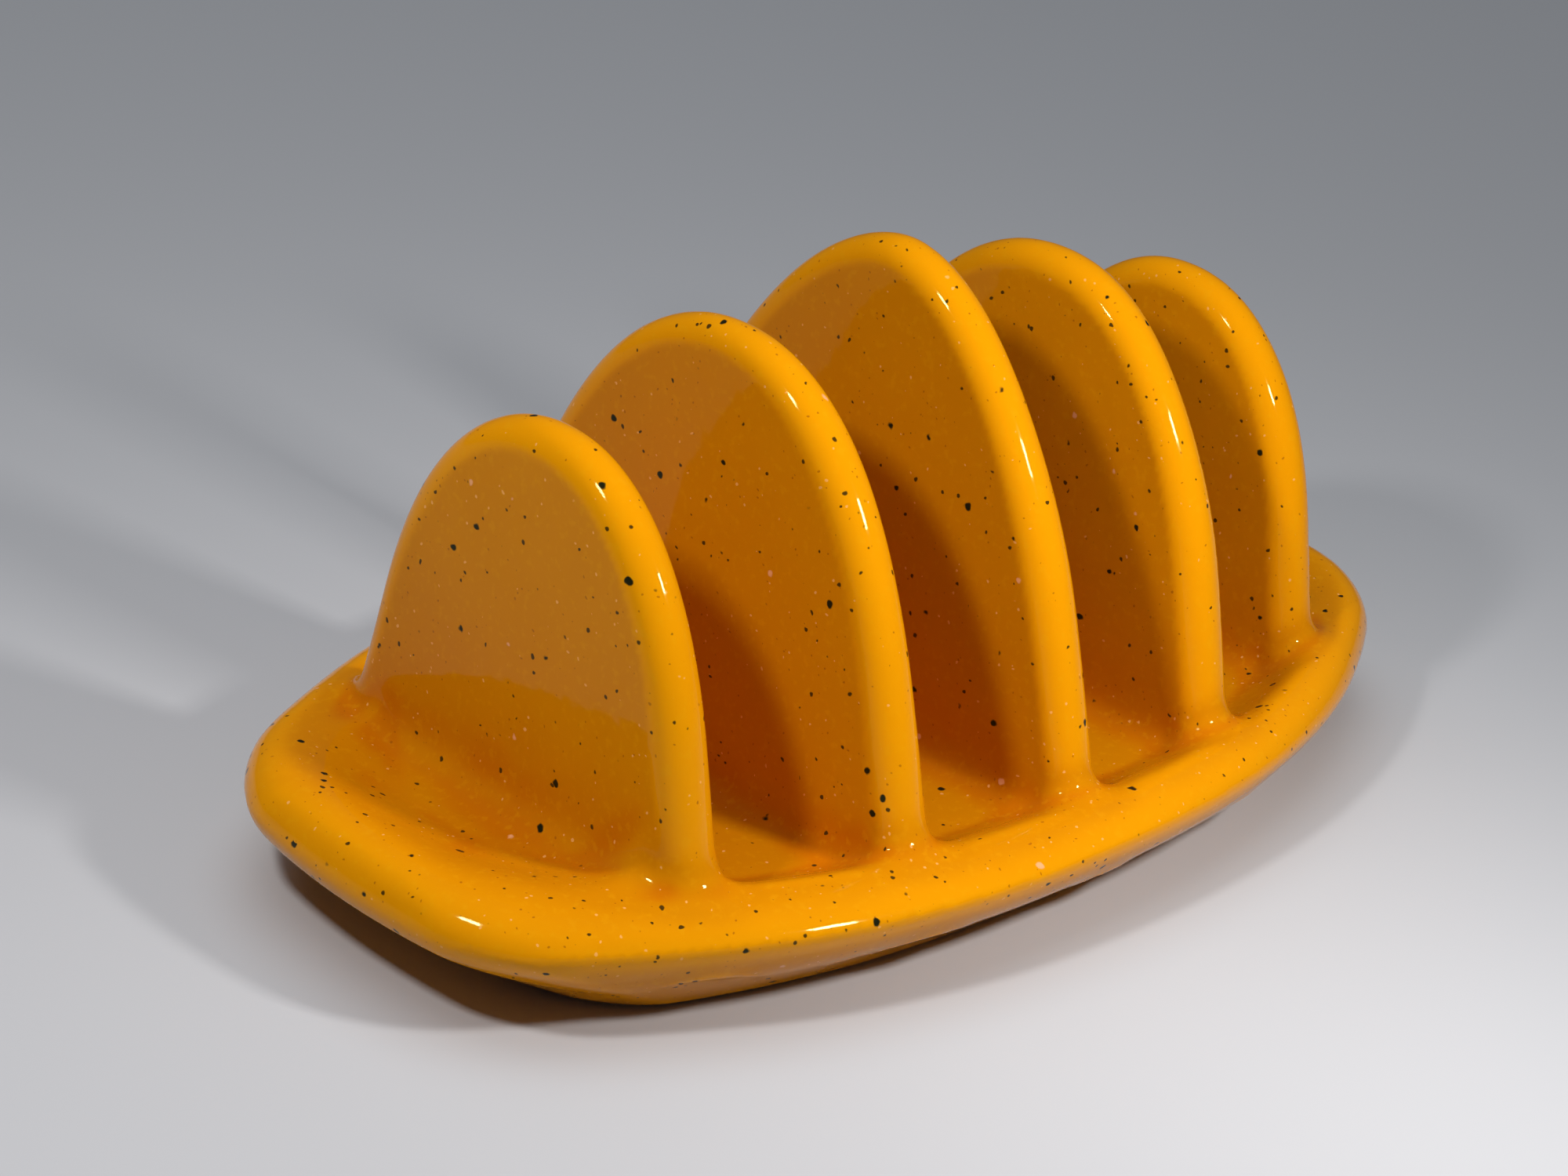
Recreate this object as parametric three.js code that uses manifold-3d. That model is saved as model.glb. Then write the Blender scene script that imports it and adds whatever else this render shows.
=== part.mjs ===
// A free-standing ceramic toast rack: a boat-shaped tray on a foot ring, with five arched
// dividers that leave four slots for toast and a shallow well at each end.
// The real rack is one fired piece. Here each region that a potter joins with slip is its own
// solid, a hair's breadth from its neighbour, so each can be read and measured on its own.
// Millimetres. X runs along the rack, Y across it, Z up, and Z = 0 is the surface it rests on.
import * as THREE from 'three';
import { ParametricGeometry } from 'three/addons/geometries/ParametricGeometry.js';
import { mergeVertices } from 'three/addons/utils/BufferGeometryUtils.js';
import Module from 'manifold-3d';

// ---- Driving dimensions ----
const pitch = 28;             // centre to centre of neighbouring dividers
const seam = 0.3;             // gap where two solids meet

// Tray outline: bowed long sides, nearly straight ends and rounded corners.
const tray = {
  halfLength: 82.2,
  endBow: 2.4,                // how far the middle of an end stands out past its corners
  halfWidth: 47.5,
  endHalfWidth: 23.1,
  sidePower: 2.44,            // 2 is a parabola; more keeps the middle of a side straighter
  cornerRadius: 7.6,
};
const cornerDrift = 0.52;     // how fast an end narrows as the outline is drawn inwards

// Foot outline, where the rack meets the table.
const foot = {
  halfLength: 65.2,
  endBow: 2.4,
  halfWidth: 36.7,
  endHalfWidth: 24.8,
  sidePower: 2.42,
  cornerRadius: 8.2,
};
const footRingHeight = 4;
const footRingWidth = 7;      // across both rounded edges; the flat face between them is bare clay
const footEdgeRadius = 1;

// Rolled rim and the hollow inside it.
const rimSideHeight = 11.6;   // height of the tray's outermost line
const rimTopHeight = 18.5;    // of the crest, at the +X end
const rimTilt = 1.4;          // the crest is this much lower at the -X end
const rimDip = 2.6;           // and this much lower along the sides
const rimTopInset = 5.6;      // from the outermost line in to the crest
const rimUnderHeight = 8.6;   // where the roll turns into the slanted wall
const rimUnderInset = 1.9;
const hollowInset = 15;       // from the outermost line in to the foot of the hollow's slope
const hollowHeight = 11;      // top of the floor, beside that slope
const floorDip = 0.5;         // how much lower the middle of the floor lies
const endWellRise = 2;        // the floor of the two end wells is this much higher
const endWellSlope = 3;       // and the slope down to it is up to this much wider

// Dividers: rounded plates, one profile each for the outer, inner and middle ones.
const dividerBase = 18;       // height at which a divider's half width is given
const dividerSink = 5;        // a divider is made down to here, then cut to the tray
const dividerCentre = 30;     // height of the middle of its faces
const faceScales = [0, 0.45, 0.6, 0.69, 0.78];  // rings across a face: 0 is its middle, 1 its edge
const topHalfThickness = 3.3;
const baseHalfThickness = 3.7;
const filletRadius = 4;       // at the foot of each face
const profiles = {
  outer: { height: 60.6, halfWidth: 23.8, topPower: 2.49, sidePower: 2.15 },
  inner: { height: 67.6, halfWidth: 29.7, topPower: 2.12, sidePower: 2.13 },
  middle: { height: 73.3, halfWidth: 31.6, topPower: 1.81, sidePower: 1.86 },
};
const flare = 0.19;           // how much wider than halfWidth a divider is at its base
const toeFlare = 0.05;        // and the extra in its lowest third

// Which profile each divider has, and how far off its true place it was set by hand.
const dividers = [
  { kind: 'outer', alongBy: 0.2, acrossBy: 0.1 },
  { kind: 'inner', alongBy: -0.5, acrossBy: 0.7 },
  { kind: 'middle', alongBy: -0.7, acrossBy: 0.8 },
  { kind: 'inner', alongBy: 0, acrossBy: -0.1 },
  { kind: 'outer', alongBy: 0, acrossBy: -0.4 },
];

// Steps around and along the curved surfaces.
const traySlices = 84;
const archSteps = 28;
const baseSteps = 8;
const edgeSteps = 4;

const wasm = await Module();
wasm.setup();

// ---- Outlines ----

/** How far (x, y) lies outside an outline; negative inside. */
function outsideBy(shape, x, y) {
  const side = shape.halfWidth
    - (shape.halfWidth - shape.endHalfWidth) * Math.abs(x / shape.halfLength) ** shape.sidePower;
  const end = shape.halfLength + shape.endBow * (1 - (y / shape.endHalfWidth) ** 2);
  const pastSide = Math.abs(y) - side + shape.cornerRadius;
  const pastEnd = Math.abs(x) - end + shape.cornerRadius;
  const inCorner = pastSide > 0 && pastEnd > 0;
  const reach = inCorner ? Math.hypot(pastSide, pastEnd) : Math.max(pastSide, pastEnd);
  return reach - shape.cornerRadius;
}

/** The point of an outline at a turn (0 to 1) around it, found by halving along its ray. */
function outlinePoint(shape, turn) {
  const angle = 2 * Math.PI * (turn % 1);
  const x = shape.halfLength * Math.cos(angle);
  const y = shape.halfWidth * Math.sin(angle);
  let inside = 0.2;
  let outside = 1.6;
  for (let step = 0; step < 40; step += 1) {
    const middle = (inside + outside) / 2;
    if (outsideBy(shape, x * middle, y * middle) > 0) outside = middle;
    else inside = middle;
  }
  return new THREE.Vector2(x * inside, y * inside);
}

/** The tray's outline drawn inwards by a distance. */
function trayInset(distance) {
  return {
    ...tray,
    halfLength: tray.halfLength - distance,
    halfWidth: tray.halfWidth - distance,
    endHalfWidth: tray.endHalfWidth - cornerDrift * distance,
  };
}

/** An outline part of the way from the foot (0) to the underside of the rim (1). */
function wallOutline(share) {
  const rim = trayInset(rimUnderInset);
  const blend = {};
  for (const key of Object.keys(foot)) blend[key] = THREE.MathUtils.lerp(foot[key], rim[key], share);
  return blend;
}

/** The wall's outline at a height above the table. */
const wallAt = (height) => wallOutline(height / rimUnderHeight);

// ---- Solids from stacked rings ----

/** A ring gives a point for each turn around it. This one follows an outline, level. */
const levelRing = (shape, height, scale = 1) => (turn) => {
  const point = outlinePoint(shape, turn).multiplyScalar(scale);
  return new THREE.Vector3(point.x, point.y, height);
};

/** A surface through a list of rings, each joined to the next. */
function ringSurface(rings, slices) {
  const last = rings.length - 1;
  return new ParametricGeometry(
    (u, v, target) => target.copy(rings[Math.round(v * last)](u)), slices, last);
}

/** The same surface with shared vertices merged and flat triangles dropped. */
function closed(geometry) {
  geometry.deleteAttribute('normal');
  geometry.deleteAttribute('uv');
  const merged = mergeVertices(geometry);
  const corners = merged.index.array;
  const kept = [];
  for (let i = 0; i < corners.length; i += 3) {
    const [a, b, c] = [corners[i], corners[i + 1], corners[i + 2]];
    if (a !== b && b !== c && c !== a) kept.push(a, b, c);
  }
  merged.setIndex(kept);
  return merged;
}

function toManifold(geometry) {
  return new wasm.Manifold(new wasm.Mesh({
    numProp: 3,
    vertProperties: new Float32Array(geometry.attributes.position.array),
    triVerts: new Uint32Array(geometry.index.array),
  }));
}

function fromManifold(solid) {
  const { vertProperties, triVerts } = solid.getMesh();
  const geometry = new THREE.BufferGeometry();
  geometry.setAttribute('position', new THREE.Float32BufferAttribute(vertProperties, 3));
  geometry.setIndex(Array.from(triVerts));
  return geometry;
}

// ---- Tray ----

/** The height of the rim's crest at a place along the tray. */
function crestHeight(x) {
  const along = THREE.MathUtils.clamp(x / tray.halfLength, -1, 1);
  return rimTopHeight - rimTilt * (1 - along) / 2 - rimDip * (1 - along ** 4);
}

/** The rolled upper side of the rim, at an angle from its outermost line (0) to its crest (90). */
function rollRing(degrees, raise) {
  const angle = THREE.MathUtils.degToRad(degrees);
  const outline = trayInset(rimTopInset * (1 - Math.cos(angle)));
  return (turn) => {
    const point = outlinePoint(outline, turn);
    const height = rimSideHeight + (crestHeight(point.x) - rimSideHeight + raise) * Math.sin(angle);
    return new THREE.Vector3(point.x, point.y, height);
  };
}

/** The foot of the slope into the hollow, drawn further in by the two end wells. */
function hollowPoint(turn) {
  const beside = outlinePoint(trayInset(hollowInset), turn);
  const endShare = THREE.MathUtils.smoothstep(
    Math.abs(beside.x), 2 * pitch, tray.halfLength - hollowInset);
  return outlinePoint(trayInset(hollowInset + endWellSlope * endShare), turn);
}

/** The hollow's floor: dipped in the middle, and higher in the end wells. */
function floorRing(scale, raise) {
  return (turn) => {
    const point = hollowPoint(turn).multiplyScalar(scale);
    const endShare = THREE.MathUtils.smoothstep(
      Math.abs(point.x), 2 * pitch, tray.halfLength - hollowInset - endWellSlope);
    const height = hollowHeight - floorDip * (1 - scale ** 2) + endWellRise * endShare;
    return new THREE.Vector3(point.x, point.y, height + raise);
  };
}

/** The slope from the crest of the rim (0) down to the floor (1). */
function slopeRing(share, raise) {
  const crest = trayInset(rimTopInset);
  const bottom = floorRing(1, raise);
  const drop = (1 - Math.cos(Math.PI * share)) / 2;
  return (turn) => {
    const low = bottom(turn);
    const point = outlinePoint(crest, turn).lerp(new THREE.Vector2(low.x, low.y), share);
    const height = THREE.MathUtils.lerp(crestHeight(point.x) + raise, low.z, drop);
    return new THREE.Vector3(point.x, point.y, height);
  };
}

/** The tray, with its upper side raised a little when it is used to cut the dividers. */
function trayGeometry(raise = 0) {
  const underside = footRingHeight + seam;
  const rings = [levelRing(wallAt(underside), underside, 0)];
  for (const height of [underside, (underside + rimUnderHeight) / 2, rimUnderHeight]) {
    rings.push(levelRing(wallAt(height), height));
  }
  for (const angle of [-45, 0].map(THREE.MathUtils.degToRad)) {
    const inset = rimUnderInset * (1 - Math.cos(angle));
    const height = rimSideHeight + (rimSideHeight - rimUnderHeight) * Math.sin(angle);
    rings.push(levelRing(trayInset(inset), height));
  }
  for (const degrees of [30, 60, 90]) rings.push(rollRing(degrees, raise));
  for (const share of [0.25, 0.5, 0.75]) rings.push(slopeRing(share, raise));
  for (const scale of [1, 0.7, 0.35, 0]) rings.push(floorRing(scale, raise));
  return closed(ringSurface(rings, traySlices));
}

// ---- Foot ring ----

/** A closed band whose outer face carries on the tray's slanted wall. */
function footRingGeometry() {
  const rounded = footEdgeRadius * (1 - Math.SQRT1_2);
  const outerFoot = wallAt(0);
  const inner = (distance, height) => {
    const shape = {
      ...outerFoot,
      halfLength: outerFoot.halfLength - distance,
      halfWidth: outerFoot.halfWidth - distance,
      endHalfWidth: outerFoot.endHalfWidth - cornerDrift * distance,
    };
    return levelRing(shape, height);
  };
  const rings = [
    inner(footEdgeRadius, 0),
    inner(rounded, rounded),
    levelRing(wallAt(footEdgeRadius), footEdgeRadius),
    levelRing(wallAt(footRingHeight), footRingHeight),
    inner(footRingWidth + footEdgeRadius, footRingHeight),
    inner(footRingWidth, footEdgeRadius),
    inner(footRingWidth - rounded, rounded),
    inner(footRingWidth - footEdgeRadius, 0),
    inner(footEdgeRadius, 0),
  ];
  return closed(ringSurface(rings, traySlices));
}

// ---- Dividers ----

/** The outline of a divider in the YZ plane: over the arch, then back along its sunken base. */
function dividerOutline(profile) {
  const points = [];
  const rise = profile.height - dividerBase;
  for (let step = 0; step <= archSteps; step += 1) {
    const angle = Math.PI * (step / archSteps - 0.5);
    const share = Math.cos(angle) ** (2 / profile.topPower);
    const across = Math.sign(angle) * Math.abs(Math.sin(angle)) ** (2 / profile.sidePower);
    const widening = 1 + flare * (1 - share) + toeFlare * Math.max(0, 1 - 3 * share) ** 2;
    points.push(new THREE.Vector2(profile.halfWidth * across * widening, dividerBase + rise * share));
  }
  const toe = points[archSteps].x;
  for (let step = 0; step <= baseSteps; step += 1) {
    points.push(new THREE.Vector2(toe * (1 - 2 * step / baseSteps), dividerSink));
  }
  return points;
}

/** Half the plate's thickness at a height. */
function plateHalfThickness(height, profile) {
  const share = THREE.MathUtils.clamp((height - dividerBase) / (profile.height - dividerBase), 0, 1);
  return THREE.MathUtils.lerp(baseHalfThickness, topHalfThickness, share);
}

/** How far the fillet at the foot of a face stands out from the plate at a height. */
function filletSpread(height) {
  const fallen = THREE.MathUtils.clamp(hollowHeight + filletRadius - height, 0, filletRadius);
  return filletRadius - Math.sqrt(filletRadius ** 2 - fallen ** 2);
}

/** A plate with a fully rounded edge: its rings run from one face, round the edge, to the other. */
function plateGeometry(profile) {
  const outline = dividerOutline(profile);
  const count = outline.length;
  const inward = outline.map((point, i) => {
    const along = outline[(i + 1) % count].clone().sub(outline[(i + count - 1) % count]).normalize();
    return new THREE.Vector2(along.y, -along.x);
  });
  const centre = new THREE.Vector2(0, dividerCentre);
  const edgeRing = (angle, scale = 1) => (turn) => {
    const i = Math.round(turn * count) % count;
    const depth = plateHalfThickness(outline[i].y, profile) * (1 - Math.cos(angle));
    const point = outline[i].clone().addScaledVector(inward[i], depth);
    point.sub(centre).multiplyScalar(scale).add(centre);
    const half = plateHalfThickness(point.y, profile) + filletSpread(point.y);
    return new THREE.Vector3(half * Math.sin(angle), point.x, point.y);
  };
  const rings = [];
  for (const scale of faceScales) rings.push(edgeRing(Math.PI / 2, scale));
  for (let step = 0; step <= edgeSteps; step += 1) {
    rings.push(edgeRing(Math.PI * (0.5 - step / edgeSteps)));
  }
  for (const scale of [...faceScales].reverse()) rings.push(edgeRing(-Math.PI / 2, scale));
  return closed(ringSurface(rings, count));
}

// ---- Assembly ----

const glaze = { color: 0xf28a00, roughness: 0.12, metalness: 0 };

const rack = new THREE.Group();

function addPiece(name, geometry) {
  geometry.computeVertexNormals();
  const mesh = new THREE.Mesh(geometry, new THREE.MeshStandardMaterial(glaze));
  mesh.name = name;
  rack.add(mesh);
  return mesh;
}

addPiece('tray', trayGeometry());
addPiece('foot_ring', footRingGeometry());

const trayCutter = toManifold(trayGeometry(seam));
dividers.forEach(({ kind, alongBy, acrossBy }, i) => {
  const x = (i - 2) * pitch + alongBy;
  const plate = toManifold(plateGeometry(profiles[kind]).translate(x, acrossBy, 0));
  const trimmed = fromManifold(plate.subtract(trayCutter)).translate(-x, -acrossBy, 0);
  addPiece(`divider_${i + 1}`, trimmed).position.set(x, acrossBy, 0);
});

export default rack;
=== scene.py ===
"""A glazed ceramic toast rack: five arched dividers on a boat-shaped tray with a rolled rim.

The rack is one fired body, so it is shaped as one smooth field and meshed once. The mesh is then
cut into the seven regions of the CAD model, along lines that the glaze hides.
"""

from collections import namedtuple
import math

import bmesh
import bpy
import numpy as np
import openvdb as vdb
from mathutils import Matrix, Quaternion, Vector


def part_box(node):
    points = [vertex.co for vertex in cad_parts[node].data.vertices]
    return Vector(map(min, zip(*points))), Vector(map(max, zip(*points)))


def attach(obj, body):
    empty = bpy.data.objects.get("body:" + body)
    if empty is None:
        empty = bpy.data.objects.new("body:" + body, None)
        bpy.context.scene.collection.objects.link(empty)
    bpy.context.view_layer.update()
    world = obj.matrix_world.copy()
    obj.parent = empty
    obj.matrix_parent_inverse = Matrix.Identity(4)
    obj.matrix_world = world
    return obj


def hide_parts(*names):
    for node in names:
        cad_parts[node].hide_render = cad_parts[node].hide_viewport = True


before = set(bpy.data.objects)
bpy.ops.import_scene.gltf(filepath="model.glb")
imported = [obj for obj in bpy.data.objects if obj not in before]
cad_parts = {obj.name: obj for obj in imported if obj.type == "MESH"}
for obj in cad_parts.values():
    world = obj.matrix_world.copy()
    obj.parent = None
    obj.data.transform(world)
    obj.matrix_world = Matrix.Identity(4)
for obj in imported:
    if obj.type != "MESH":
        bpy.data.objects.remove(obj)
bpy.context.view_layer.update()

MM = 0.001


def box_mm(node):
    """The lowest and highest corners of a CAD node, in millimetres."""
    low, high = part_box(node)
    return np.array(low) / MM, np.array(high) / MM


def arch_middle(node):
    """The middle of a divider's upper half, in millimetres along X and Y."""
    points = np.array([vertex.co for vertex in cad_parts[node].data.vertices]) / MM
    arch = points[points[:, 2] > points[:, 2].max() / 2]
    return (arch.min(0) + arch.max(0))[:2] / 2


# ---- Sizes of the tray, in millimetres unless they say otherwise ----

Outline = namedtuple(
    "Outline", "half_length end_bow half_width end_half_width side_power corner_radius")

tray_top = box_mm("tray")[1]
END_BOW = 2.4
TRAY = Outline(tray_top[0] - END_BOW, END_BOW, tray_top[1], 23.1, 2.44, 7.6)
FOOT = Outline(65.2, END_BOW, 36.7, 24.8, 2.42, 8.2)
CORNER_DRIFT = 0.52           # how fast an end narrows as an outline is drawn inwards
LARGEST_INSET = 30            # insets are looked for between these two
SMALLEST_INSET = -12
INSET_ROUNDS = 8
WALL_TOP = 9.8                # where the slanted wall would meet the tray's outermost line
ROLL_RADIUS = 2.4             # of the rim's underside
RIM_SIDE_HEIGHT = 11.6
RIM_TOP_HEIGHT = 18.5         # of the crest, at the +X end
RIM_TILT = 1.4                # the crest is this much lower at the -X end
RIM_DIP = 2.6                 # and this much lower along the sides
RIM_TOP_INSET = 5.6
NARROWEST_ROLL = 3            # from the outermost line to the crest
HOLLOW_INSET = 15
HOLLOW_HEIGHT = 11
HOLLOW_TURN = 0.045           # radians: the hollow was pressed in slightly askew
FLOOR_DIP = 0.5               # the floor is this much lower along the middle
FLOOR_DIP_WIDTH = 15          # and comes down over this width
END_WELL_RISE = 2             # the floor of the two end wells is this much higher
END_WELL_SLOPE = 3            # and the slope down to it this much wider
FOOT_RING_HEIGHT = box_mm("foot_ring")[1][2]
FOOT_RING_WIDTH = 7
RECESS_HEIGHT = 4.3
FOOT_EDGE_RADIUS = 1

# ---- Sizes of the dividers, from -X to +X: place and height are the CAD's ----

DIVIDER_NAMES = [f"divider_{number}" for number in range(1, 6)]
PIECE_NAMES = ["tray", "foot_ring"] + DIVIDER_NAMES
DIVIDER_PITCH = 28
OUTER_DIVIDER = 2 * DIVIDER_PITCH
DIVIDER_BASE = 18
DIVIDER_SINK = 9              # how far down a divider reaches, inside the tray
FLARE = 0.19                  # an arch is this much wider at its base, as a share
TOE_FLARE = 0.05              # and its toes this much wider again
TOP_HALF_THICKNESS = 3.3
BASE_HALF_THICKNESS = 3.7
LEVEL_POWER = 0.45            # about one over the arches' powers, so that levels are evenly spaced

Arch = namedtuple("Arch", "half_width top_power side_power")
OUTER = Arch(23.8, 2.49, 2.15)
INNER = Arch(29.7, 2.12, 2.13)
MIDDLE = Arch(31.6, 1.81, 1.86)
ARCHES = [OUTER, INNER, MIDDLE, INNER, OUTER]
dividers = {key: np.array([getattr(arch, key) for arch in ARCHES]) for key in Arch._fields}
dividers["x"], dividers["y"] = np.array([arch_middle(name) for name in DIVIDER_NAMES]).T
dividers["height"] = np.array([box_mm(name)[1][2] for name in DIVIDER_NAMES])

# ---- Sizes of the joins, the surface and the mesh ----

SLOT_BLEND = 7                # reach of the soft join between a divider and the tray
END_BLEND = 12                # the same on the outer faces of the outer dividers
END_BLEND_FROM = 61           # which is reached this far along X
TOE_BLEND = 6                 # the same at both ends of every divider
TOE_START = 0.95              # which starts at this share of the divider's half width
TOE_END = 1.2                 # and is reached at this one
FINE_RIPPLE = 0.09            # heights of the waves of a hand-finished surface
BROAD_RIPPLE = 0.07
FLAT_BELOW = 1                # the foot is ground flat up to here
RIPPLED_ABOVE = 6
VOXEL = 0.9
SLOPE_STEP = 0.05             # between the two samples that give a slope
BEND_REACH = 1.5              # how far around a point its bend is measured
LONGEST_MOVE = 0.5            # of a point, in one round of onto_surface
LEAST_STEEPNESS = 0.1         # squared: a flatter field is treated as this steep
SNAP = 0.12                   # a point this near a cut lies on it


# ---- Shape: fields that are negative inside, and roughly distances near the surface ----

def smoothstep(value, start, end):
    share = np.clip((value - start) / (end - start), 0, 1)
    return share * share * (3 - 2 * share)


def smooth_min(a, b, reach):
    """The lower of two fields, blended where they are nearly equal."""
    nearness = np.maximum(reach - np.abs(a - b), 0) / reach
    return np.minimum(a, b) - nearness ** 3 * reach / 6


def round_max(a, b, radius):
    """The higher of two fields, with the edge between them rounded to a radius."""
    corner = np.hypot(np.maximum(a + radius, 0), np.maximum(b + radius, 0))
    return np.minimum(np.maximum(a, b), -radius) + corner


def outside_by(outline, x, y):
    """How far a point lies outside an outline; negative inside."""
    narrowing = (outline.half_width - outline.end_half_width) * (
        np.abs(x / outline.half_length) ** outline.side_power)
    bow = outline.end_bow * (1 - (y / outline.end_half_width) ** 2)
    past_side = np.abs(y) - outline.half_width + narrowing + outline.corner_radius
    past_end = np.abs(x) - outline.half_length - bow + outline.corner_radius
    corner = np.hypot(np.maximum(past_side, 0), np.maximum(past_end, 0))
    return corner + np.minimum(np.maximum(past_side, past_end), 0) - outline.corner_radius


def drawn_in(outline, distance):
    return outline._replace(
        half_length=outline.half_length - distance,
        half_width=outline.half_width - distance,
        end_half_width=outline.end_half_width - CORNER_DRIFT * distance)


def inset_of(x, y):
    """How far the tray's outline is drawn in before it reaches a point."""
    inset = -outside_by(TRAY, x, y)
    for _ in range(INSET_ROUNDS):
        inset = inset - outside_by(drawn_in(TRAY, inset), x, y)
        inset = np.clip(inset, SMALLEST_INSET, LARGEST_INSET)
    return inset


def wall_outline(share):
    """An outline part of the way from the foot (0) to the tray's outermost line (1)."""
    return Outline(*(low + (high - low) * share for low, high in zip(FOOT, TRAY)))


def wall_field(x, y, z):
    """The slanted wall, from the foot up to the tray's outermost line."""
    here = outside_by(wall_outline(z / WALL_TOP), x, y)
    above = outside_by(wall_outline((z + 1) / WALL_TOP), x, y)
    return here / np.hypot(1, here - above)


def crest_height(x):
    along = np.clip(x / TRAY.half_length, -1, 1)
    return RIM_TOP_HEIGHT - RIM_TILT * (1 - along) / 2 - RIM_DIP * (1 - along ** 4)


def upper_field(x, y, z):
    """The tray's upper side: the rolled rim, then the slope down to the floor of the hollow."""
    inset = inset_of(x, y)
    hollow = inset_of(x - HOLLOW_TURN * y, y + HOLLOW_TURN * x)
    roll_width = np.maximum(RIM_TOP_INSET + inset - hollow, NARROWEST_ROLL)
    out = np.maximum(RIM_TOP_INSET - hollow, 0) / roll_width
    top = crest_height(x)
    up = np.maximum(z - RIM_SIDE_HEIGHT, 0) / (top - RIM_SIDE_HEIGHT)
    roll = (np.hypot(out, up) - 1) * (top - RIM_SIDE_HEIGHT)

    in_end_well = smoothstep(np.abs(x), OUTER_DIVIDER, TRAY.half_length - HOLLOW_INSET)
    slope_width = HOLLOW_INSET + END_WELL_SLOPE * in_end_well - RIM_TOP_INSET
    share = np.clip((hollow - RIM_TOP_INSET) / slope_width, 0, 1)
    dip = FLOOR_DIP * np.clip((hollow - HOLLOW_INSET) / FLOOR_DIP_WIDTH, 0, 1)
    drop = top - (HOLLOW_HEIGHT - dip + END_WELL_RISE * in_end_well)
    height = top - drop * (1 - np.cos(np.pi * share)) / 2
    steepness = np.pi / 2 * drop / slope_width * np.sin(np.pi * share)
    slope = (z - height) / np.hypot(1, steepness)
    return np.where(hollow < RIM_TOP_INSET, roll, slope)


def tray_field(x, y, z):
    body = round_max(upper_field(x, y, z), wall_field(x, y, z), ROLL_RADIUS)
    body = round_max(body, -z, FOOT_EDGE_RADIUS)
    recess_side = outside_by(drawn_in(FOOT, FOOT_RING_WIDTH), x, y)
    recess = round_max(recess_side, z - RECESS_HEIGHT, FOOT_EDGE_RADIUS)
    return round_max(body, -recess, FOOT_EDGE_RADIUS)


def nearest_number(x):
    """The index of the nearest divider, from 0 at the -X end."""
    middle = len(DIVIDER_NAMES) // 2
    return np.clip(np.rint(x / DIVIDER_PITCH) + middle, 0, 2 * middle).astype(int)


def nearest_divider(x):
    nearest = nearest_number(x)
    return {key: values[nearest] for key, values in dividers.items()}


def arch_level(arch, y, z):
    """Negative inside a divider's outline; y is measured from its middle."""
    share = (z - DIVIDER_BASE) / (arch["height"] - DIVIDER_BASE)
    widening = 1 + FLARE * (1 - share) + TOE_FLARE * np.maximum(0, 1 - 3 * share) ** 2
    across = np.abs(y) / (arch["half_width"] * widening)
    powers = np.maximum(share, 0) ** arch["top_power"] + across ** arch["side_power"]
    return powers ** LEVEL_POWER - 1


def divider_field(x, y, z):
    """The nearest divider: a plate with a fully rounded edge."""
    arch = nearest_divider(x)
    y = y - arch["y"]
    step = SLOPE_STEP
    level = arch_level(arch, y, z)
    slope_y = arch_level(arch, y + step, z) - arch_level(arch, y - step, z)
    slope_z = arch_level(arch, y, z + step) - arch_level(arch, y, z - step)
    past_edge = level * 2 * step / np.maximum(np.hypot(slope_y, slope_z), 1e-4)
    share = np.clip((z - DIVIDER_BASE) / (arch["height"] - DIVIDER_BASE), 0, 1)
    half = BASE_HALF_THICKNESS + (TOP_HALF_THICKNESS - BASE_HALF_THICKNESS) * share
    plate = np.hypot(np.maximum(past_edge + half, 0), x - arch["x"]) - half
    return np.maximum(plate, DIVIDER_SINK - z)


def ripple(x, y, z):
    """The slight unevenness of a hand-finished surface."""
    fine = FINE_RIPPLE * np.sin(x / 5.3 + z / 9) * np.sin(y / 6.1 + 1)
    broad = BROAD_RIPPLE * np.sin(x / 13 + y / 10 + z / 8.5 + 2)
    return (fine + broad) * smoothstep(z, FLAT_BELOW, RIPPLED_ABOVE)


def rack_field(x, y, z):
    """The tray and its dividers, softly joined."""
    at_end = smoothstep(np.abs(x), OUTER_DIVIDER, END_BLEND_FROM)
    reach = SLOT_BLEND + (END_BLEND - SLOT_BLEND) * at_end
    half_width = nearest_divider(x)["half_width"]
    at_toe = smoothstep(np.abs(y), TOE_START * half_width, TOE_END * half_width)
    reach = reach + (TOE_BLEND - reach) * at_toe
    return smooth_min(tray_field(x, y, z), divider_field(x, y, z), reach) + ripple(x, y, z)


def shifts(distance):
    """A shift by this distance along each axis in turn."""
    return np.eye(3) * distance


def slope_at(points):
    """The gradient of the rack's field at each point."""
    slopes = np.empty_like(points)
    for axis, shift in enumerate(shifts(SLOPE_STEP)):
        slopes[:, axis] = rack_field(*(points + shift).T) - rack_field(*(points - shift).T)
    return slopes / (2 * SLOPE_STEP)


def onto_surface(points, rounds):
    """Moves points along the gradient until the rack's field is zero there."""
    for _ in range(rounds):
        slopes = slope_at(points)
        move = rack_field(*points.T) / np.maximum((slopes ** 2).sum(1), LEAST_STEEPNESS)
        points = points - slopes * np.clip(move, -LONGEST_MOVE, LONGEST_MOVE)[:, None]
    return points


def bend_at(points):
    """How sharply the surface curves: above 0 on an edge, below 0 in a corner."""
    total = -6 * rack_field(*points.T)
    for shift in shifts(BEND_REACH):
        total += rack_field(*(points + shift).T) + rack_field(*(points - shift).T)
    return total / BEND_REACH ** 2


# ---- Mesh ----

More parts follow.
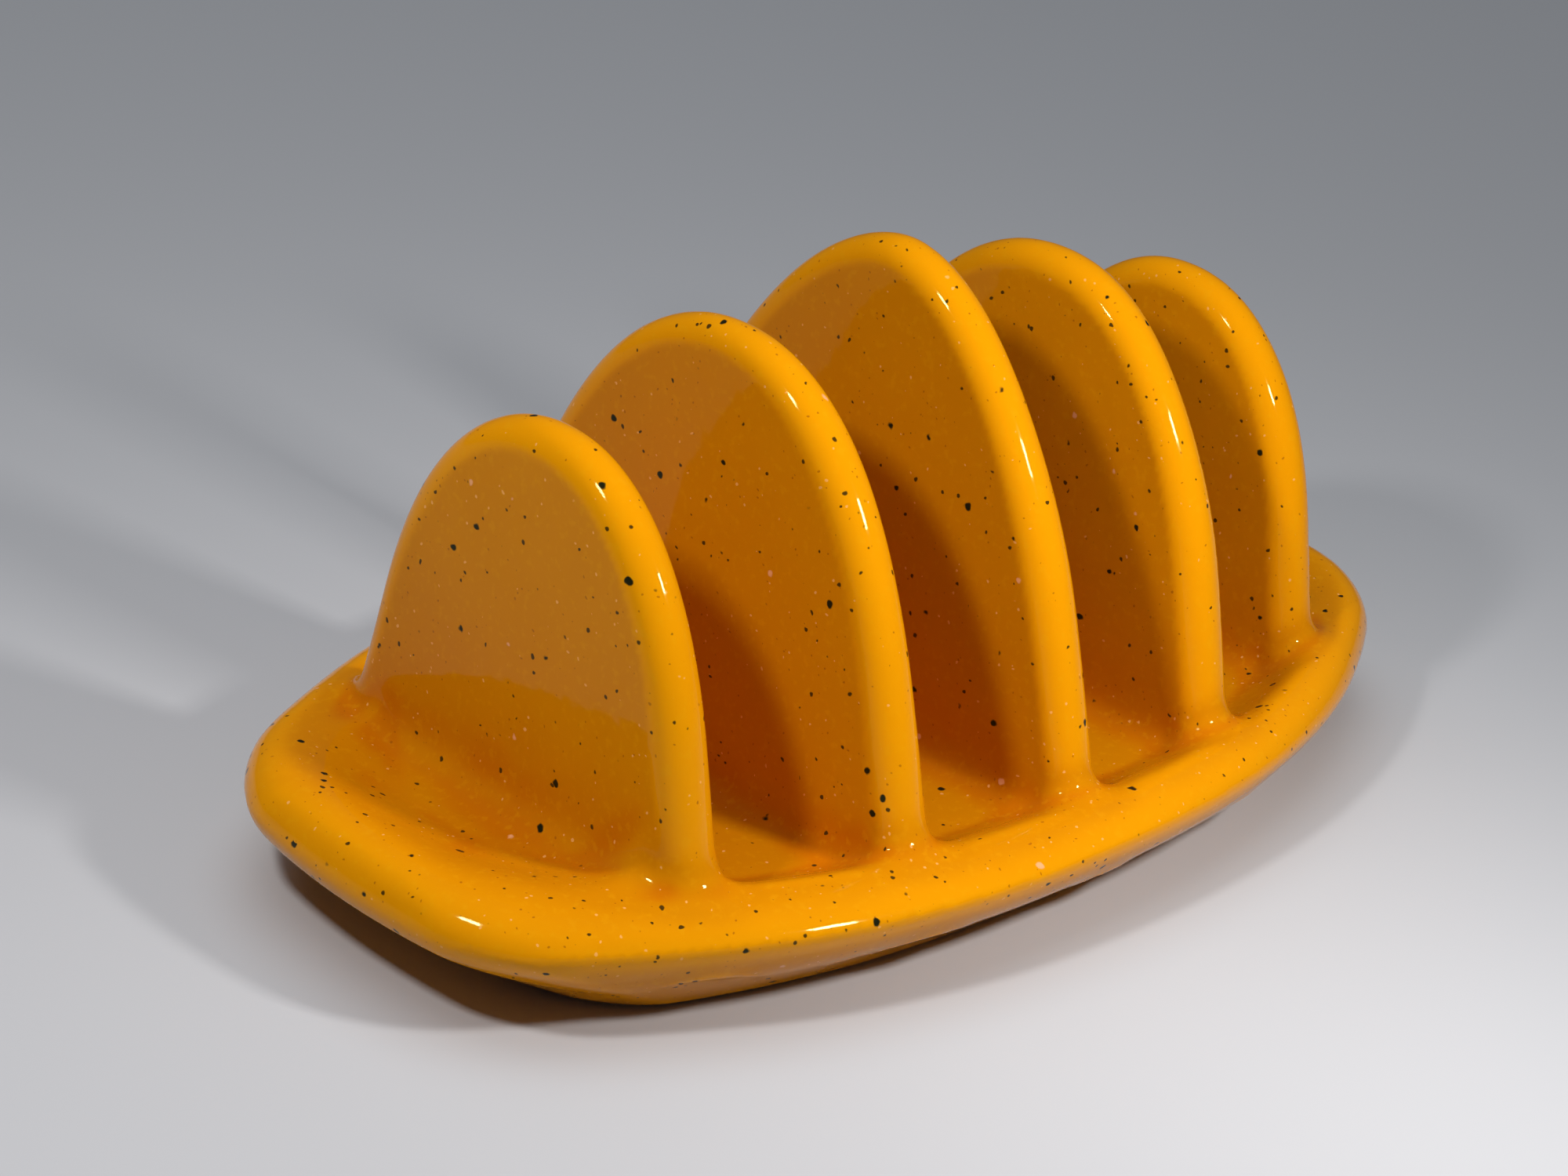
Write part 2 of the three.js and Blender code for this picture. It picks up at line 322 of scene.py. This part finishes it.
def rack_surface():
    """The whole rack as points and four-sided faces."""
    corners = [corner for name in PIECE_NAMES for corner in box_mm(name)]
    low = np.min(corners, axis=0) - 3 * VOXEL
    high = np.max(corners, axis=0) + 3 * VOXEL
    axes = [np.arange(low[axis], high[axis], VOXEL) for axis in range(3)]
    values = rack_field(*np.meshgrid(*axes, indexing="ij", sparse=True))
    grid = vdb.FloatGrid()
    grid.copyFromArray(values.astype(np.float32))
    points, quads = grid.convertToQuads()
    return onto_surface(low + points.astype(float) * VOXEL, rounds=3), quads


def points_of(mesh):
    flat = np.empty(len(mesh.vertices) * 3, np.float32)
    mesh.vertices.foreach_get("co", flat)
    return flat.reshape(-1, 3).astype(float)


def move_points(mesh, points):
    mesh.vertices.foreach_set("co", points.astype(np.float32).ravel())


def divider_lean(points):
    """Negative where a point belongs to a divider, and positive where it belongs to the tray."""
    return divider_field(*points.T) - tray_field(*points.T)


def cut_where_zero(mesh, level):
    """Adds edges to a mesh along the line where level, one number per vertex, is zero."""
    points = points_of(mesh)
    place = mesh.attributes.new("place", "FLOAT_VECTOR", "POINT")
    place.data.foreach_set("vector", points.astype(np.float32).ravel())
    move_points(mesh, np.column_stack([points[:, :2], level]))
    shape = bmesh.new()
    shape.from_mesh(mesh)
    everything = shape.verts[:] + shape.edges[:] + shape.faces[:]
    bmesh.ops.bisect_plane(shape, geom=everything, dist=SNAP, plane_no=(0, 0, 1))
    layer = shape.verts.layers.float_vector["place"]
    for vertex in shape.verts:
        vertex.co = vertex[layer]
    shape.verts.layers.float_vector.remove(layer)
    shape.to_mesh(mesh)
    shape.free()


def rack_mesh():
    """The whole rack, with edges along the lines where one region meets the next."""
    points, quads = rack_surface()
    mesh = bpy.data.meshes.new("rack")
    mesh.from_pydata(points.tolist(), [], quads.tolist())
    cut_where_zero(mesh, divider_lean(points))
    cut_where_zero(mesh, points_of(mesh)[:, 2] - FOOT_RING_HEIGHT)
    return mesh


# ---- Pieces: one for each region of the CAD model ----

def region_names(mesh):
    """The name of the region that each face of the rack's mesh belongs to."""
    points = points_of(mesh)
    starts = np.empty(len(mesh.polygons), np.int32)
    sizes = np.empty(len(mesh.polygons), np.int32)
    corners = np.empty(len(mesh.loops), np.int32)
    mesh.polygons.foreach_get("loop_start", starts)
    mesh.polygons.foreach_get("loop_total", sizes)
    mesh.loops.foreach_get("vertex_index", corners)
    middles = np.add.reduceat(points[corners], starts) / sizes[:, None]
    lean = np.add.reduceat(divider_lean(points)[corners], starts)
    names = np.where(lean < 0, np.array(DIVIDER_NAMES)[nearest_number(middles[:, 0])], "tray")
    return np.where(middles[:, 2] < FOOT_RING_HEIGHT, "foot_ring", names)


def close_hidden_side(shape):
    """Closes a piece where it was cut: a level ring by the foot, a tenon or socket elsewhere."""
    cut_edges = [edge for edge in shape.edges if edge.is_boundary]
    foot_edges = [edge for edge in cut_edges if edge.verts[0].co.z < DIVIDER_SINK]
    divider_edges = [edge for edge in cut_edges if edge.verts[0].co.z >= DIVIDER_SINK]
    if foot_edges:
        bmesh.ops.bridge_loops(shape, edges=foot_edges)
    if divider_edges:
        sides = bmesh.ops.extrude_edge_only(shape, edges=divider_edges)["geom"]
        for vertex in sides:
            if isinstance(vertex, bmesh.types.BMVert):
                vertex.co.z = DIVIDER_SINK
        ends = [edge for edge in sides if isinstance(edge, bmesh.types.BMEdge) and edge.is_boundary]
        bmesh.ops.holes_fill(shape, edges=ends, sides=0)
    bmesh.ops.recalc_face_normals(shape, faces=shape.faces[:])


def region_mesh(name, whole, names):
    """One region of the rack's mesh as a closed mesh of its own, still in millimetres."""
    shape = bmesh.new()
    shape.from_mesh(whole)
    shape.faces.ensure_lookup_table()
    others = [face for face in shape.faces if names[face.index] != name]
    bmesh.ops.delete(shape, geom=others, context="FACES")
    close_hidden_side(shape)
    mesh = bpy.data.meshes.new(name + "_glazed")
    shape.to_mesh(mesh)
    shape.free()
    return mesh


def add_piece(name, whole, names, material):
    """Adds one region of the rack, with the whole rack's normals, so that no seam shows."""
    mesh = region_mesh(name, whole, names)
    points = points_of(mesh)
    normals = slope_at(points)
    normals /= np.linalg.norm(normals, axis=1, keepdims=True)
    bend = mesh.attributes.new("bend", "FLOAT", "POINT")
    bend.data.foreach_set("value", bend_at(points).astype(np.float32))
    move_points(mesh, points * MM)
    mesh.shade_smooth()
    mesh.normals_split_custom_set_from_vertices(normals.tolist())
    mesh.update()
    mesh.materials.append(material)
    piece = bpy.data.objects.new(name + "_glazed", mesh)
    bpy.context.scene.collection.objects.link(piece)
    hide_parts(name)
    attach(piece, "root")


# ---- Glaze: lengths are in metres, and colours are linear ----

GLAZE_DEEP = (0.61, 0.210, 0.001, 1)
GLAZE_WARM = (0.66, 0.240, 0.001, 1)
GLAZE_THIN_AND_HIGHLIT = (0.77, 0.295, 0.001, 1)       # where it has run off an edge and is thinner, and lighter there as a painted highlight
GLAZE_POOLED_AND_SHADED = (0.58, 0.160, 0.001, 1)     # where it has gathered in a corner, and darker there as painted shade
GLAZE_MOTTLE = (0.76, 0.34, 0.004, 1)
GLAZE_ROUGHNESS = 0.06
CLAY_DARK = (0.50, 0.36, 0.24, 1)
CLAY_LIGHT = (0.68, 0.53, 0.38, 1)
CLAY_ROUGHNESS = 0.85
BARE_BELOW = 0.00010                       # height up to which the foot is wiped bare
GLAZED_ABOVE = 0.00030
CLOUD_SIZE = 0.012
MOTTLE_SIZE = 0.0011
CROWD_SIZE = 0.011
CLAY_GRAIN = 0.0006
WAVE_SIZE = 0.0035
WAVE_HEIGHT = 0.0004
RAGGED_BY = 0.0007                         # how far the outline of a speck strays
RAGGED_SCALE = 900                         # and how closely, in waves to the metre

# spacing: from one place for a speck to the next. smallest, largest: a speck's radius.
# share: how many of the places have a speck. shift: sets one kind's places apart from another's.
Specks = namedtuple("Specks", "spacing smallest largest share shift strength colour")
SPECK_KINDS = [
    Specks(0.00095, 0.00007, 0.00018, 0.42, (3.1, 0.2, 0.7), 0.60, (0.30, 0.070, 0.003, 1)),
    Specks(0.00120, 0.00009, 0.00022, 0.36, (0.4, 2.6, 6.1), 0.70, (0.93, 0.46, 0.13, 1)),
    Specks(0.00175, 0.00014, 0.00034, 0.42, (1.7, 4.4, 2.9), 0.95, (0.045, 0.024, 0.004, 1)),
    Specks(0.00330, 0.00026, 0.00058, 0.26, (5.2, 1.1, 3.3), 1.00, (0.014, 0.014, 0.005, 1)),
    Specks(0.00560, 0.00030, 0.00060, 0.26, (2.2, 7.3, 1.4), 0.80, (0.90, 0.44, 0.22, 1)),
]


class NodeMaker:
    """Adds nodes to a material, with less text for each."""

    def __init__(self, tree):
        self.tree = tree

    def add(self, kind, settings=None, **inputs):
        """Adds a node. An input goes by its name, or as i0, i1 and so on by its number."""
        node = self.tree.nodes.new("ShaderNode" + kind)
        for key, value in (settings or {}).items():
            setattr(node, key, value)
        for key, value in inputs.items():
            socket = node.inputs[int(key[1:]) if key[1:].isdigit() else key.replace("_", " ")]
            if isinstance(value, bpy.types.NodeSocket):
                self.tree.links.new(value, socket)
            else:
                socket.default_value = value
        return node

    def math(self, operation, a, b=0.0):
        return self.add("Math", {"operation": operation}, i0=a, i1=b).outputs[0]

    def vector_math(self, operation, a, b):
        return self.add("VectorMath", {"operation": operation}, i0=a, i1=b).outputs[0]

    def ramp(self, value, low, high, to_low=0.0, to_high=1.0):
        """value, stretched from low..high to to_low..to_high and clamped."""
        return self.add("MapRange", {"interpolation_type": "SMOOTHSTEP"}, Value=value, From_Min=low,
                        From_Max=high, To_Min=to_low, To_Max=to_high).outputs[0]

    def mix(self, share, a, b):
        return self.add("Mix", {"data_type": "RGBA"}, i0=share, i6=a, i7=b).outputs[2]

    def noise(self, place, size, detail=2.0):
        """Smooth noise from 0 to 1 with features of about this size, in metres."""
        return self.add("TexNoise", Vector=place, Scale=1 / size, Detail=detail).outputs[0]

    def specks(self, place, crowding, kind):
        """Specks of one kind: 1 inside and 0 outside, with more of them where it is crowded."""
        smallest = kind.smallest / kind.spacing
        largest = kind.largest / kind.spacing
        shifted = self.vector_math("ADD", place, kind.shift)
        cells = self.add("TexVoronoi", Vector=shifted, Scale=1 / kind.spacing)
        chance = self.add("TexWhiteNoise", Vector=cells.outputs["Color"]).outputs["Value"]
        size = self.ramp(chance, 1 - kind.share, 1, smallest, largest)
        least = self.math("SUBTRACT", 1, self.math("MULTIPLY", crowding, kind.share))
        present = self.math("GREATER_THAN", chance, least)
        edge = self.math("SUBTRACT", size, cells.outputs["Distance"])
        inside = self.ramp(edge, -0.06 * largest, 0.3 * largest)
        return self.math("MULTIPLY", inside, present)


def glaze_colour(maker, place):
    """The glaze without its specks: thinner and lighter on edges, partly a painted highlight;
    gathered and darker in corners, partly painted shade; and mottled.
    """
    bend = maker.add("Attribute", {"attribute_name": "bend"}).outputs["Fac"]
    cloud = maker.noise(place, CLOUD_SIZE)
    # Edges are thinner glaze, and are also painted lighter and yellower: a painted highlight where
    # light catches them.
    thin_and_highlit = maker.ramp(maker.math("ADD", bend, maker.math("MULTIPLY", cloud, 0.1)), 0.07, 0.34)
    # Corners are gathered glaze, and are also painted darker and redder: painted shade where they lie
    # in shadow.
    pooled_and_shaded = maker.ramp(maker.math("SUBTRACT", cloud, maker.math("MULTIPLY", bend, 3.0)), 0.6, 1.2)
    colour = maker.mix(cloud, GLAZE_DEEP, GLAZE_WARM)
    colour = maker.mix(thin_and_highlit, colour, GLAZE_THIN_AND_HIGHLIT)
    colour = maker.mix(pooled_and_shaded, colour, GLAZE_POOLED_AND_SHADED)
    mottle = maker.ramp(maker.noise(place, MOTTLE_SIZE, 3.0), 0.52, 0.72, 0.0, 0.25)
    return maker.mix(mottle, colour, GLAZE_MOTTLE)


def add_specks(maker, place, colour):
    """The colour with every kind of speck over it, each with a slightly ragged outline."""
    strays = maker.add("TexNoise", Vector=place, Scale=RAGGED_SCALE, Detail=1.0).outputs["Color"]
    strays = maker.vector_math("ADD", strays, (-0.5, -0.5, -0.5))
    strays = maker.vector_math("MULTIPLY", strays, (RAGGED_BY, RAGGED_BY, RAGGED_BY))
    ragged = maker.vector_math("ADD", place, strays)
    crowding = maker.ramp(maker.noise(place, CROWD_SIZE), 0.40, 0.66, 0.60, 1.0)
    for kind in SPECK_KINDS:
        specks = maker.specks(ragged, crowding, kind)
        colour = maker.mix(maker.math("MULTIPLY", specks, kind.strength), colour, kind.colour)
    return colour


def glaze_material():
    """The glaze, and the bare clay of the ground foot."""
    material = bpy.data.materials.new("speckled_glaze")
    material.use_nodes = True
    tree = material.node_tree
    tree.nodes.clear()
    maker = NodeMaker(tree)
    place = maker.add("TexCoord").outputs["Object"]
    glaze = add_specks(maker, place, glaze_colour(maker, place))

    height = maker.add("SeparateXYZ", Vector=place).outputs[2]
    bare = maker.ramp(height, GLAZED_ABOVE, BARE_BELOW)
    clay = maker.mix(maker.noise(place, CLAY_GRAIN, 4.0), CLAY_DARK, CLAY_LIGHT)
    colour = maker.mix(bare, glaze, clay)
    roughness = maker.ramp(bare, 0.0, 1.0, GLAZE_ROUGHNESS, CLAY_ROUGHNESS)

    waves = maker.noise(place, WAVE_SIZE, 1.0)
    bump = maker.add("Bump", Strength=0.12, Distance=WAVE_HEIGHT, Height=waves).outputs[0]
    shader = maker.add("BsdfPrincipled", Base_Color=colour, Roughness=roughness, Normal=bump)
    shader.inputs["IOR"].default_value = 1.25
    shader.inputs["Specular IOR Level"].default_value = 0.5
    shader.inputs["Specular Tint"].default_value = (0.9, 1, 0.45, 1)
    output = maker.add("OutputMaterial")
    tree.links.new(shader.outputs[0], output.inputs[0])
    return material


whole = rack_mesh()
names = region_names(whole)
glaze = glaze_material()
for name in PIECE_NAMES:
    add_piece(name, whole, names, glaze)
bpy.data.meshes.remove(whole)


# ---- Camera, floor and lights, in metres and watts ----

CAMERA_AT = Vector((-0.2728, -0.2322, 0.1922))
LOOKS_AT = Vector((-0.0040, 0.0108, 0.0228))
CAMERA_ROLL = math.radians(6.89)
LENS = 71.2

LAMPS_POINT_AT = Vector((0, 0, 0.03))
Lamp = namedtuple("Lamp", "place size power colour mirrored")
LAMPS = {
    "right_lamp": Lamp((0.003, -0.150, 0.134), 0.022, 0.235, (1, 0.97, 0.94), True),
    "left_lamp": Lamp((-0.203, -0.018, 0.222), 0.028, 0.295, (1, 0.97, 0.95), True),
    "ceiling_lamp": Lamp((0, 0.3, 1.5), 1.5, 11.2, (0.96, 0.98, 1), False),
}

FLOOR_REACH = 3
FLOOR_COLOUR = (0.54, 0.55, 0.575, 1)
FLOOR_ROUGHNESS = 0.8
WORLD_COLOUR = (0.62, 0.72, 0.9, 1)
WORLD_STRENGTH = 0.05


def add_camera():
    camera = bpy.data.objects.new("camera", bpy.data.cameras.new("camera"))
    camera.data.lens = LENS
    camera.data.sensor_width = 36
    camera.data.clip_start = 0.01
    camera.location = CAMERA_AT
    camera.rotation_mode = "QUATERNION"
    aim = (LOOKS_AT - CAMERA_AT).to_track_quat("-Z", "Y")
    camera.rotation_quaternion = aim @ Quaternion((0, 0, 1), CAMERA_ROLL)
    bpy.context.scene.collection.objects.link(camera)
    bpy.context.scene.camera = camera


def add_lamp(name, settings):
    """A square lamp that points at the rack, and is mirrored in the glaze or not."""
    lamp = bpy.data.objects.new(name, bpy.data.lights.new(name, "AREA"))
    lamp.data.size = settings.size
    lamp.data.energy = settings.power
    lamp.data.color = settings.colour
    lamp.visible_glossy = settings.mirrored
    lamp.location = settings.place
    lamp.rotation_mode = "QUATERNION"
    aim = (LAMPS_POINT_AT - lamp.location).to_track_quat("-Z", "Y")
    lamp.rotation_quaternion = aim
    bpy.context.scene.collection.objects.link(lamp)


def add_floor():
    corners = [(FLOOR_REACH * x, FLOOR_REACH * y, 0) for x, y in ((-1, -1), (1, -1), (1, 1), (-1, 1))]
    mesh = bpy.data.meshes.new("floor")
    mesh.from_pydata(corners, [], [(0, 1, 2, 3)])
    paper = bpy.data.materials.new("paper")
    paper.use_nodes = True
    shader = paper.node_tree.nodes["Principled BSDF"]
    shader.inputs["Base Color"].default_value = FLOOR_COLOUR
    shader.inputs["Roughness"].default_value = FLOOR_ROUGHNESS
    mesh.materials.append(paper)
    floor = bpy.data.objects.new("floor", mesh)
    bpy.context.scene.collection.objects.link(floor)


def set_world():
    world = bpy.data.worlds.new("studio")
    world.use_nodes = True
    background = world.node_tree.nodes["Background"]
    background.inputs["Color"].default_value = WORLD_COLOUR
    background.inputs["Strength"].default_value = WORLD_STRENGTH
    bpy.context.scene.world = world


add_camera()
for name, settings in LAMPS.items():
    add_lamp(name, settings)
add_floor()
set_world()
bpy.context.scene.view_settings.view_transform = "Standard"
